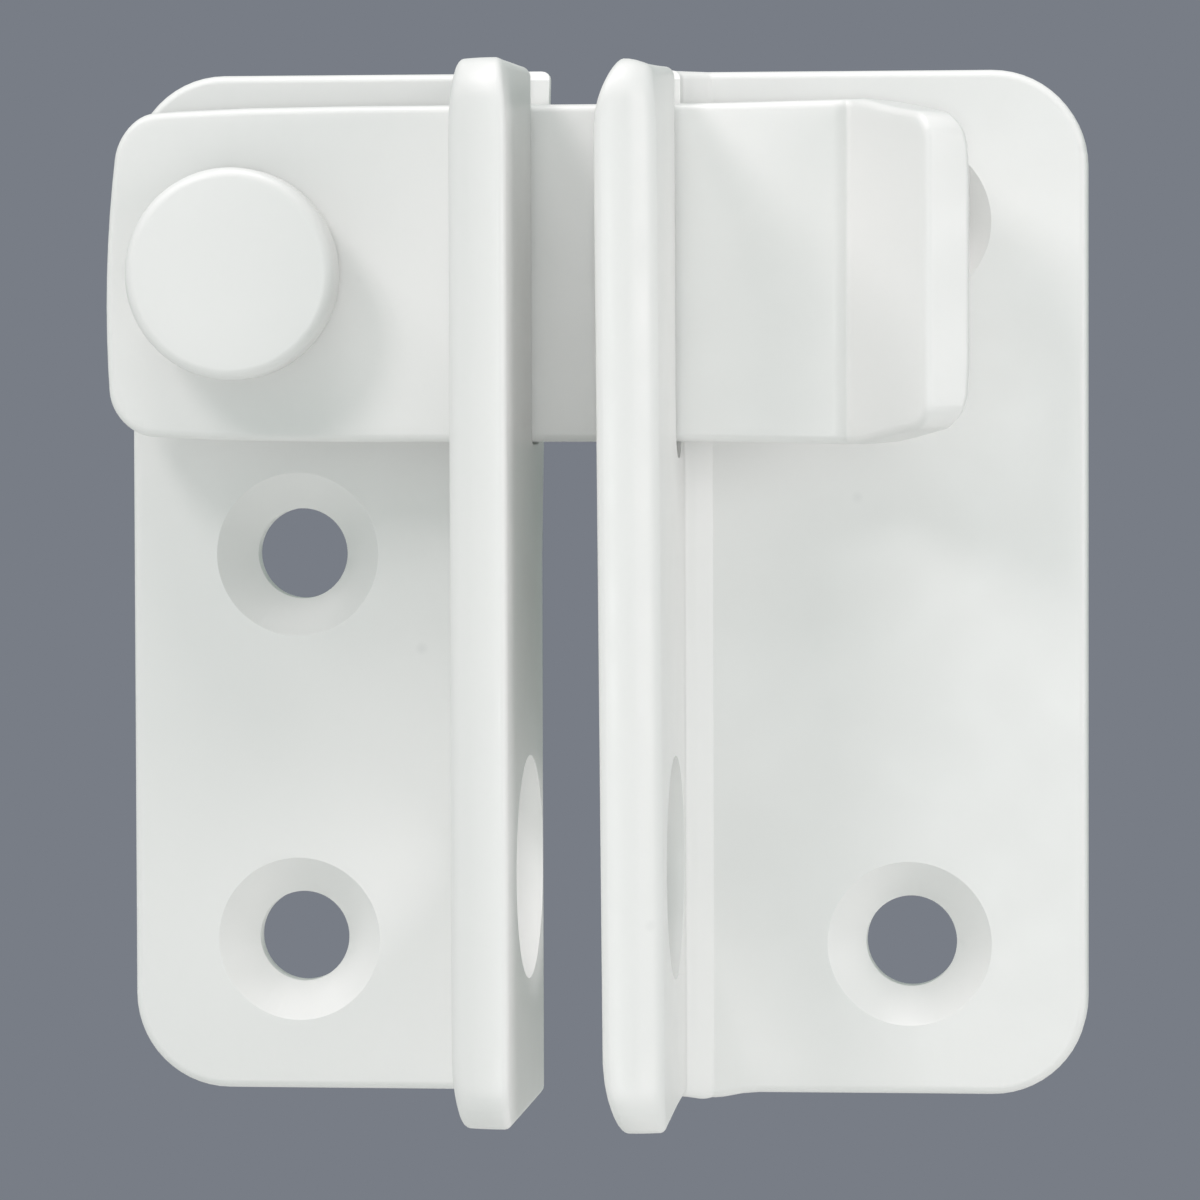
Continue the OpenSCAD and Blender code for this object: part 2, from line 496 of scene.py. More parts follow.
@dataclass
class FoldedBracket:
    """One folded bracket: plate, fold, flange, screw holes, padlock hole and open notch."""

    node: str
    side: Side
    screws: str
    notch_floor: float
    notch_near: float
    top: EndWear
    low: EndWear
    sheet: float = 3.2 * MM
    bend_radius: float = 1.9 * MM
    plate_corner: float = 5.2 * MM
    plate_facets: int = 14
    flange_corner: float = 2.2 * MM
    flange_facets: int = 12
    edge_radius: float = 0.45 * MM
    edge_facets: int = 4
    hole_edge: float = 0.22 * MM
    hole_facets: int = 3
    hole_steps: int = 96
    sink_radius: float = 4.5 * MM
    seat_radius: float = 2.5 * MM
    seat_steps: int = 80
    tail_radius: float = 3.3 * MM
    notch_width: float = 3.8 * MM
    notch_corner: float = 0.8 * MM
    notch_facets: int = 8
    notch_above: float = 2 * MM
    mouth_flare: float = 0.5 * MM
    fold_steps: int = 16
    fold_flat: float = math.radians(45)
    fold_root: float = 0.55 * MM
    fold_share: float = 0.79
    bulge: float = 0.0
    bulge_reach: float = 1.4 * MM
    bulge_past: float = 0.9 * MM
    bulge_height: float = 4 * MM
    bulge_levels: tuple[float, ...] = (0.3, 0.6, 1.0)
    bulge_cuts: tuple[float, ...] = (0.5 * MM, 1.1 * MM, 2.0 * MM)
    roll: float = 1.3 * MM
    roll_start: float = 0.2
    wear_reach: float = 3.6 * MM
    wear_power: float = 1.7
    wear_zone: float = 1.5
    wear_layers: tuple[float, ...] = (0.3, 0.5, 0.65, 0.8)
    wear_steps: tuple[float, ...] = (0.15, 0.3, 0.5, 0.75, 1.0)
    stretch_reach: float = 6 * MM
    tongue_lean: float = 0.6 * MM
    flange_lean: float = 0.0
    flange_close: float = 0.0
    box_low: Vector = field(init=False)
    box_high: Vector = field(init=False)
    face_x: float = field(init=False)

    def __post_init__(self) -> None:
        """Reads the CAD node's box, and X of the flange's outer face."""
        self.box_low, self.box_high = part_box(self.node)
        self.face_x = self.box_low.x if self.side is Side.RIGHT else self.box_high.x

    def build(self, coat: Material) -> Object:
        """Builds and dresses the bracket.

        Args:
            coat: The bracket's finish.

        Returns:
            The finished piece.
        """
        size = self.box_high - self.box_low
        solid = self._blank(size.x, -self.box_low.y, size.z)
        bmesh.ops.scale(solid, verts=solid.verts, vec=(self.side.value, 1, 1))
        bmesh.ops.translate(solid, verts=solid.verts, vec=(self.face_x, 0, self.box_low.z))
        bmesh.ops.recalc_face_normals(solid, faces=solid.faces)
        round_edges(solid, sharp_edges(solid), self.edge_radius, self.edge_facets)
        self._quarter_holes(solid)
        solid = carve(solid, self._cutters())
        round_edges(solid, sharp_edges(solid), self.hole_edge, self.hole_facets)
        self._squeeze_fold(solid)
        self._divide_flange(solid)
        self._wear_flange(solid)
        self._lean(solid)
        return finish_piece(solid, coat, "brackets", self.node)

    @property
    def outer(self) -> float:
        """Gives the fold's outside radius."""
        return self.bend_radius + self.sheet

    def _inside(self, depth: float) -> float:
        """Gives X at a depth past the flange's outer face, on the plate's side."""
        return self.face_x + self.side.value * depth

    def _blank(self, width: float, depth: float, height: float) -> Mesh:
        """Folds the blank, its flange's outer face at x = 0 and its plate running along +X.

        Args:
            width: From the flange's outer face to the plate's free edge.
            depth: From the back face to the flange's free edge.
            height: The bracket's height.

        Returns:
            The folded solid, with its free corners rounded.
        """
        mesh = bmesh.new()
        edge = mesh.edges.new([mesh.verts.new((x, -depth, 0)) for x in (0, self.sheet)])
        edge = pull_edge(mesh, edge, INWARD * (depth - self.outer))
        axis = Vector((self.outer, -self.outer, 0))
        edge = turn_edge(mesh, edge, axis, -math.pi / 2, self.fold_steps)
        self._crease(mesh, axis)
        pull_edge(mesh, edge, ACROSS * (width - self.outer))
        bmesh.ops.remove_doubles(mesh, verts=mesh.verts, dist=MERGE)
        raise_slab(mesh, height)
        plate = [e for e in mesh.edges if self._is_corner(e, "x", width)]
        round_edges(mesh, plate, self.plate_corner, self.plate_facets)
        flange = [e for e in mesh.edges if self._is_corner(e, "y", -depth)]
        round_edges(mesh, flange, self.flange_corner, self.flange_facets)
        return mesh

    def _crease(self, mesh: Mesh, axis: Vector) -> None:
        """Turns the inner side of the fold into flats with a thick root, as a blunt tool leaves it.

        Args:
            mesh: The strip, swept round the fold.
            axis: The fold's axis.
        """
        square = axis + Vector((-self.bend_radius, self.bend_radius, 0))
        for vert in mesh.verts:
            arm = vert.co - axis
            if abs(arm.length - self.bend_radius) < MERGE and arm.x < -MERGE and arm.y > -MERGE:
                turn = math.atan2(arm.y, -arm.x)
                off = turn - self.fold_flat * round(turn / self.fold_flat)
                past = 2 * min(turn, math.pi / 2 - turn) / self.fold_flat
                flat = square.lerp(axis + arm / math.cos(off), self.fold_share)
                vert.co = flat + ACROSS * self.fold_root * max(0.0, min(1.0, past))

    @staticmethod
    def _is_corner(edge: Edge, axis: str, value: float) -> bool:
        """Says whether an edge is a free corner's edge: level, and at a value of an axis."""
        return is_level(edge) and all(abs(getattr(v.co, axis) - value) < LEVEL for v in edge.verts)

    def _screw_places(self) -> list[Vector]:
        """Reads where the two screw holes lie on the back face.

        Returns:
            Their middles, the lower one first.
        """
        pattern = MOUNTS[self.screws]
        rise = UP * pattern["dims"]["spacing_y_mm"] * MM / 2
        return [Vector(pattern["pos_m"]) - rise, Vector(pattern["pos_m"]) + rise]

    def _quarter_holes(self, mesh: Mesh) -> None:
        """Divides the faces through the middle of each hole, so that none is cut in its inside.

        Args:
            mesh: The solid, in the row frame.
        """
        padlock = Vector(MOUNTS["padlock_hole"]["pos_m"])
        points = [*self._screw_places(), padlock]
        cut_plane(mesh, points[0], ACROSS)
        cut_plane(mesh, padlock, INWARD)
        if self.side is Side.LEFT:
            points.append(PIVOT)
            cut_plane(mesh, PIVOT, ACROSS)
        for point in points:
            cut_plane(mesh, point, UP)

    def _cutters(self) -> Mesh:
        """Makes the closed shapes that are cut out of the bracket.

        Returns:
            The cutters in one bmesh.
        """
        mesh = bmesh.new()
        for centre in self._screw_places():
            self._screw_cutter(mesh, centre, MOUNTS[self.screws]["dims"]["hole_r_mm"] * MM)
        padlock = MOUNTS["padlock_hole"]
        centre = Vector((self.face_x, *padlock["pos_m"][1:]))
        radius = padlock["dims"]["r_mm"] * MM
        cylinder(mesh, radius, centre, ACROSS * 2 * self.sheet, self.hole_steps)
        self._notch_cutter(mesh)
        if self.side is Side.LEFT:
            self._seat_cutter(mesh)
        return mesh

    def _seat_cutter(self, mesh: Mesh) -> None:
        """Adds the cutter of the rivet's seat, wide at the back face for its tail.

        Args:
            mesh: The mesh that it is added to.
        """
        seat, tail = self.seat_radius, self.tail_radius
        profile = [
            (0.0, -self.sheet), (tail + self.sheet, -self.sheet), (seat, tail - seat),
            (seat, 2 * self.sheet), (0.0, 2 * self.sheet),
        ]
        foot = Vector((PIVOT.x, 0, PIVOT.z))
        turn_profile(mesh, profile, foot, -INWARD, self.seat_steps)

    def _screw_cutter(self, mesh: Mesh, centre: Vector, radius: float) -> None:
        """Adds the cutter of one countersunk hole.

        Args:
            mesh: The mesh that it is added to.
            centre: The hole's centre on the back face.
            radius: The hole's radius.
        """
        sink = self.sink_radius - radius
        profile = [
            (0.0, -self.sheet), (radius, -self.sheet), (radius, self.sheet - sink),
            (self.sink_radius + sink, self.sheet + sink), (0.0, self.sheet + sink),
        ]
        turn_profile(mesh, profile, centre, -INWARD, self.hole_steps)

    def _notch_cutter(self, mesh: Mesh) -> None:
        """Adds the cutter of the open-topped notch, its mouth flared.

        Args:
            mesh: The mesh that it is added to.
        """
        top, above = self.box_high.z, self.notch_above
        size = Vector((4 * self.sheet, self.notch_width, top + above - self.notch_floor))
        middle = self.notch_near + self.notch_width / 2
        centre = Vector((self.face_x, middle, self.notch_floor + size.z / 2))
        verts = bmesh.ops.create_cube(mesh, size=1)["verts"]
        bmesh.ops.scale(mesh, verts=verts, vec=size)
        bmesh.ops.translate(mesh, verts=verts, vec=centre)
        faces = {f for v in verts for f in v.link_faces}
        cut_plane(mesh, UP * (top - self.mouth_flare), UP, faces)
        for vert in mesh.verts:
            if vert.co.z > top + above / 2:
                vert.co.y += math.copysign(above + self.mouth_flare, vert.co.y - middle)
        floor = [
            e for e in mesh.edges
            if abs(e.verts[0].co.y - e.verts[1].co.y) < LEVEL and all(
                abs(v.co.z - self.notch_floor) < LEVEL and abs(v.co.y - middle) < size.y
                for v in e.verts
            )
        ]
        round_edges(mesh, floor, self.notch_corner, self.notch_facets)

    def _squeeze_fold(self, mesh: Mesh) -> None:
        """Pushes the lower end of the fold out on its inner side, as a press brake leaves it.

        Args:
            mesh: The bracket, in the row frame.
        """
        base = self.box_low.z
        inset = self.outer - self.bend_radius / math.sqrt(2)
        centre = Vector((self._inside(inset + self.bulge_past), -inset))
        for share in self.bulge_levels:
            cut_plane(mesh, UP * (base + share * self.bulge_height), UP)
        for past in self.bulge_cuts:
            cut_plane(mesh, ACROSS * self._inside(self.outer + past), ACROSS)
        for vert in mesh.verts:
            near = math.exp(-(((vert.co.xy - centre).length / self.bulge_reach) ** 2))
            fade = max(0.0, 1 - (vert.co.z - base) / self.bulge_height)
            vert.co.z -= self.bulge * near * fade**2

    def _divide_flange(self, mesh: Mesh) -> None:
        """Divides the flange's free edge and its two free corners where they are worn.

        Args:
            mesh: The bracket, in the row frame.
        """
        for share in self.wear_layers:
            self._cut_flange(mesh, ACROSS * self._inside(share * self.sheet), ACROSS)
        for step in self.wear_steps:
            reach = step * self.wear_reach
            self._cut_flange(mesh, INWARD * (self.box_low.y + reach), INWARD)
            for level in (self.box_low.z + reach, self.box_high.z - reach):
                self._cut_flange(mesh, UP * level, UP)

    def _wear_flange(self, mesh: Mesh) -> None:
        """Rolls the flange's free edge over on its inner side and wears its two free corners.

        The sheet is sheared from the outer side and the part is tumbled, so the inner side of
        the edge is drawn over and the corners lose most.

        Args:
            mesh: The bracket, in the row frame.
        """
        front_y = self.box_low.y
        middle = (self.box_low.z + self.box_high.z) / 2
        half = (self.box_high.z - self.box_low.z) / 2
        post = self.notch_near - front_y
        deep = -front_y - self.outer
        for vert in mesh.verts:
            back = vert.co.y - front_y
            if back > deep:
                continue
            upper = vert.co.z > middle
            wear = self.top if upper else self.low
            inside = self.side.value * (vert.co.x - self.face_x) / self.sheet
            height = half - abs(vert.co.z - middle)
            end = max(0.0, 1 - height / self.wear_reach)
            tail = max(0.0, 1 - height / self.stretch_reach)
            front = max(0.0, 1 - back / self.wear_reach)
            ahead = max(0.0, 1 - back / post)
            rolled = max(0.0, (inside - self.roll_start) / (1 - self.roll_start)) ** 2
            pinch = end**self.wear_power * min(1.0, 2 * ahead)
            drop = end * wear.drop * rolled * ahead - tail * wear.stretch * (1 - back / deep)
            vert.co.x += self.side.value * pinch * (wear.outer * (1 - inside) - wear.inner * inside)
            vert.co.y += self.roll * rolled * front
            vert.co.z += -drop if upper else drop

    def _cut_flange(self, mesh: Mesh, point: Vector, normal: Vector) -> None:
        """Adds a loop of edges to the part of the flange that is worn.

        Args:
            mesh: The bracket, in the row frame.
            point: A point of the dividing plane.
            normal: The plane's normal.
        """
        limit = self.box_low.y + self.wear_zone * self.wear_reach
        faces = [f for f in mesh.faces if min(v.co.y for v in f.verts) < limit]
        cut_plane(mesh, point, normal, faces)

    def _lean(self, mesh: Mesh) -> None:
        """Leans the weak tongue behind the notch, and the flange's free edge, off the vertical.

        Args:
            mesh: The bracket, in the row frame.
        """
        low, high = self.box_low, self.box_high
        tall = high.z - self.notch_floor
        for vert in mesh.verts:
            across = max(0.0, 1 - self.side.value * (vert.co.x - self.face_x) / self.outer)
            up = max(0.0, (vert.co.z - self.notch_floor) / tall)
            if vert.co.y > self.notch_near + self.notch_width / 2:
                vert.co.x -= self.side.value * self.tongue_lean * across * up
            out = max(0.0, min(1.0, (-vert.co.y - self.outer) / (-low.y - self.outer)))
            rise = (vert.co.z - low.z) / (high.z - low.z)
            vert.co.x += self.side.value * (self.flange_close - self.flange_lean * rise) * out


@dataclass
class LatchBar:
    """The flat bar, its rounded pull end and its folded, tapered finger tab."""

    node: str = "latch_bar"
    thickness: float = 3 * MM
    edge_radius: float = 0.45 * MM
    edge_facets: int = 4
    bore_radius: float = 2.58 * MM
    bore_steps: int = 72
    tab_angle: float = math.radians(51)
    tab_bend: float = 0.5 * MM
    tab_steps: int = 10
    tab_length: float = 6.7 * MM
    tab_straight: float = 0.5 * MM
    tab_height: float = 16.4 * MM
    tab_corner: float = 1.3 * MM
    tab_facets: int = 10
    tab_wear: float = 1.0 * MM
    tab_wear_height: float = 0.32
    tab_wear_start: float = 0.3
    pull_corner: float = 2.4 * MM
    pull_facets: int = 12
    pull_bow: float = 0.55 * MM
    pull_bow_length: float = 6 * MM
    pull_bow_middle: float = -0.23
    pull_bow_limit: float = 1.6
    pull_taper: float = 0.5 * MM
    pull_length: float = 17 * MM
    crease_depth: float = 0.22 * MM
    crease_reach: float = 0.8 * MM
    crease_skin: float = 0.3
    swell: float = 0.2 * MM
    swell_reach: float = 2.2 * MM
    swell_power: int = 8
    level_cuts: tuple[float, ...] = (-0.9, -0.8, -0.6, -0.4, -0.2, 0.0, 0.2, 0.4, 0.6, 0.8, 0.9)
    run_cuts: tuple[float, ...] = (1, 2, 4, 8, 14, 20, 26, 32)
    crease_cuts: tuple[float, ...] = (0.12, 0.3, 0.5, 0.75, 1.0)
    tab_cuts: tuple[float, ...] = (0.5, 1.2, 2.4, 3.6, 4.8)

    def build(self, coat: Material) -> Object:
        """Builds and dresses the bar.

        Args:
            coat: The bar's finish.

        Returns:
            The finished piece.
        """
        low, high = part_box(self.node)
        reach = self._fold_start(high.x)
        run = reach - low.x
        height = high.z - low.z
        mesh = self._blank(run, height)
        round_edges(mesh, sharp_edges(mesh), self.edge_radius, self.edge_facets)
        self._add_loops(mesh, run, height)
        self._shape(mesh, run, height)
        front = PIVOT.y - self.thickness / 2
        bmesh.ops.translate(mesh, verts=mesh.verts, vec=(reach, front, (low.z + high.z) / 2))
        bore = bmesh.new()
        cylinder(bore, self.bore_radius, PIVOT, INWARD * 2 * self.thickness, self.bore_steps)
        mesh = carve(mesh, bore)
        return finish_piece(mesh, coat, "bar", self.node)

    @property
    def along(self) -> Vector:
        """Gives the direction that the tab runs in, in the blank's frame."""
        return Vector((math.cos(self.tab_angle), -math.sin(self.tab_angle), 0))

    @property
    def through(self) -> Vector:
        """Gives the direction through the tab's thickness, towards its rear."""
        return Vector((math.sin(self.tab_angle), math.cos(self.tab_angle), 0))

    @property
    def axis(self) -> Vector:
        """Gives the axis of the tab's fold, in the blank's frame."""
        return Vector((0, -self.tab_bend, 0))

    def _fold_start(self, tip_x: float) -> float:
        """Works out where the tab's fold starts from the farthest point of the tab.

        Args:
            tip_x: The bar's highest X.

        Returns:
            X where the flat length ends.
        """
        outer = self.tab_bend + self.thickness
        corner = (self.tab_length - self.edge_radius) * math.cos(self.tab_angle)
        corner += (outer - self.edge_radius) * math.sin(self.tab_angle) + self.edge_radius
        return tip_x - corner

    def _blank(self, run: float, height: float) -> Mesh:
        """Folds the bar's blank, the front of its fold's start at the origin.

        Args:
            run: Length of the flat part.
            height: The bar's height.

        Returns:
            The folded solid, centred on Z, with its corners rounded.
        """
        mesh = bmesh.new()
        edge = mesh.edges.new([mesh.verts.new((-run, y, 0)) for y in (0, self.thickness)])
        edge = pull_edge(mesh, edge, ACROSS * run)
        edge = turn_edge(mesh, edge, self.axis, -self.tab_angle, self.tab_steps)
        pull_edge(mesh, edge, self.along * self.tab_length)
        bmesh.ops.remove_doubles(mesh, verts=mesh.verts, dist=MERGE)
        raise_slab(mesh, height)
        bmesh.ops.translate(mesh, verts=mesh.verts, vec=(0, 0, -height / 2))
        level = [e for e in mesh.edges if is_level(e)]
        pull = [e for e in level if all(v.co.x < LEVEL - run for v in e.verts)]
        round_edges(mesh, pull, self.pull_corner, self.pull_facets)
        tip = self.tab_length - LEVEL
        level = [e for e in mesh.edges if is_level(e)]
        end = [e for e in level if all(self._tip_distance(v.co) > tip for v in e.verts)]
        round_edges(mesh, end, self.tab_corner, self.tab_facets)
        return mesh

    def _tip_distance(self, point: Vector) -> float:
        """Gives how far a point lies along the tab past its fold, in the blank's frame."""
        return (point - self.axis).dot(self.along)

    def _add_loops(self, mesh: Mesh, run: float, height: float) -> None:
        """Divides the bar where it is shaped.

        Args:
            mesh: The blank.
            run: Length of the flat part.
            height: The bar's height.
        """
        for share in self.level_cuts:
            cut_plane(mesh, UP * share * height / 2, UP)
        for x in self.run_cuts:
            cut_plane(mesh, ACROSS * (x * MM - run), ACROSS)
        for share in self.crease_cuts:
            cut_plane(mesh, ACROSS * -share * self.crease_reach, ACROSS)
        for distance in self.tab_cuts:
            cut_plane(mesh, self.axis + self.along * distance * MM, self.along)

    def _shape(self, mesh: Mesh, run: float, height: float) -> None:
        """Shapes the pull end, the tab and the fold between them.

        Args:
            mesh: The divided blank.
            run: Length of the flat part.
            height: The bar's height.
        """
        half = height / 2
        for vert in mesh.verts:
            point = vert.co.copy()
            vert.co += self._pull_shift(point, point.x + run, half)
            past = (self._tip_distance(point) - self.tab_straight) / self.tab_length
            if past > 0 and point.x > 0:
                vert.co.z *= 1 - (1 - self.tab_height / height) * past
                vert.co -= self.through * self._tab_loss(point, past, half)
            radius = (point.xy - self.axis.xy).length
            vert.co.y += self._crease_sink(point, radius)
            near = math.exp(-((radius / self.swell_reach) ** 2))
            edge = (abs(point.z) / half) ** self.swell_power
            vert.co.z += math.copysign(self.swell * near * edge, point.z)

    def _pull_shift(self, point: Vector, back: float, half: float) -> Vector:
        """Tapers the pull end and bows its edge.

        Args:
            point: A point of the blank.
            back: How far it lies from the pull end.
            half: Half the bar's height.

        Returns:
            How far the point moves.
        """
        slim = max(0.0, 1 - back / self.pull_length) ** 3
        end = max(0.0, 1 - back / self.pull_bow_length) ** 2
        level = point.z / half - self.pull_bow_middle
        bow = self.pull_bow * end * min(level * level, self.pull_bow_limit)
        return Vector((bow, 0, -self.pull_taper * slim * point.z / half))

    def _tab_loss(self, point: Vector, past: float, half: float) -> float:
        """Gives how much the tab's rear corners lose in the tumbling.

        Args:
            point: A point of the blank.
            past: How far it lies along the tab, as a share of its length.
            half: Half the bar's height.

        Returns:
            The loss through the tab's thickness.
        """
        rear = ((point - self.axis).dot(self.through) - self.tab_bend) / self.thickness
        corner = max(0.0, 1 - (half - abs(point.z)) / (self.tab_wear_height * half))
        tip = max(0.0, past - self.tab_wear_start) / (1 - self.tab_wear_start)
        return self.tab_wear * max(0.0, rear) * corner**2 * tip

    def _crease_sink(self, point: Vector, radius: float) -> float:
        """Gives how deep the bar's front sinks where the tab is folded out of it.

        Args:
            point: A point of the blank.
            radius: Its distance from the fold's axis.

        Returns:
            How far the point moves along +Y.
        """
        skin = self.crease_skin * self.thickness
        if point.x <= 0 and point.y < skin:
            return self.crease_depth * max(0.0, 1 + point.x / self.crease_reach) ** 2
        if point.x > 0 and radius < self.tab_bend + skin:
            turned = math.atan2(point.x, point.y + self.tab_bend) / self.tab_angle
            return self.crease_depth * max(0.0, 1 - turned)
        return 0.0


@dataclass
class PivotRivet:
    """The turned rivet: broad head, thin collar, shank and riveted tail."""

    node: str = "pivot_rivet"
    head_radius: float = 5.7 * MM
    head_height: float = 2.4 * MM
    head_edge: float = 0.6 * MM
    head_facets: int = 8
    head_flat: float = 0.5
    back_edge: float = 0.25 * MM
    back_facets: int = 4
    collar_radius: float = 3.75 * MM
    collar_height: float = 1.8 * MM
    shank_radius: float = 2.5 * MM
    tail_radius: float = 3.3 * MM
    steps: int = 160

    def build(self, coat: Material) -> Object:
        """Builds and dresses the rivet.

        Args:
            coat: The rivet's finish.

        Returns:
            The finished piece.
        """
        low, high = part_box(self.node)
        face = low.y
        under = face + self.head_height
        collar = under + self.collar_height
        tail = self.tail_radius - self.shank_radius
        profile = [
            (0.0, face), (self.head_radius * self.head_flat, face),
            *self._rounded(face, self.head_edge, 1, self.head_facets),
            *reversed(self._rounded(under, self.back_edge, -1, self.back_facets)),
            (self.collar_radius, under), (self.collar_radius, collar),
            (self.shank_radius, collar), (self.shank_radius, high.y - tail),
            (self.tail_radius, high.y), (0.0, high.y),
        ]
        mesh = lathe(profile, self.steps)
        return finish_piece(mesh, coat, "brackets", self.node)

    def _rounded(self, level: float, edge: float, side: int, count: int) -> Profile:
        """Gives the points of a rounded rim of the head.

        Args:
            level: Y of the face that the rim rounds into.
            edge: Radius of the rounding.
            side: 1 where the rim lies past the face along +Y, and -1 where before it.
            count: Number of facets.

        Returns:
            Pairs of radius and Y, from the face to the rim.
        """
        angles = [math.pi / 2 * step / count for step in range(count + 1)]
        return [
            (self.head_radius - edge + edge * math.sin(a), level + side * edge * (1 - math.cos(a)))
            for a in angles
        ]


@dataclass
class PivotSpacer:
    """The ring that holds the bar off the plate."""

    node: str = "pivot_spacer"
    bore_radius: float = 2.55 * MM
    edge: float = 0.2 * MM
    edge_facets: int = 3
    steps: int = 96

    def build(self, coat: Material) -> Object:
        """Builds and dresses the ring.

        Args:
            coat: The ring's finish.

        Returns:
            The finished piece.
        """
        low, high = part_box(self.node)
        outer, bore = (high.x - low.x) / 2, self.bore_radius
        rims = [(outer, low.y), (outer, high.y), (bore, high.y), (bore, low.y)]
        mesh = lathe([*rims, rims[0]], self.steps)
        round_edges(mesh, sharp_edges(mesh), self.edge, self.edge_facets)
        return finish_piece(mesh, coat, "brackets", self.node)


def lathe(profile: Profile, steps: int) -> Mesh:
    """Turns a profile round the pivot's axis.

    Args:
        profile: Pairs of radius and Y.
        steps: Number of facets round the axis.

    Returns:
        The closed turned solid.
    """
    mesh = bmesh.new()
    turn_profile(mesh, profile, Vector((PIVOT.x, 0, PIVOT.z)), INWARD, steps)
    bmesh.ops.recalc_face_normals(mesh, faces=mesh.faces)
    return mesh


@dataclass
class Lamp:
    """A soft area lamp, aimed at the latch."""

    name: str
    place: Place
    size: float
    power: float
    colour: Colour = (1.0, 0.935, 0.955)

    def build(self, target: Vector) -> Object:
        """Makes the lamp.

        Args:
            target: The point that it is aimed at.

        Returns:
            The lamp's object.
        """
        data = bpy.data.lights.new(self.name, "AREA")
        data.shape = "DISK"
        data.size = self.size
        data.energy = self.power
        data.color = self.colour
        lamp = bpy.data.objects.new(self.name, data)
        lamp.location = self.place
        aim = target - Vector(self.place)
        lamp.rotation_euler = aim.to_track_quat("-Z", "Y").to_euler()
        bpy.context.scene.collection.objects.link(lamp)
        return lamp


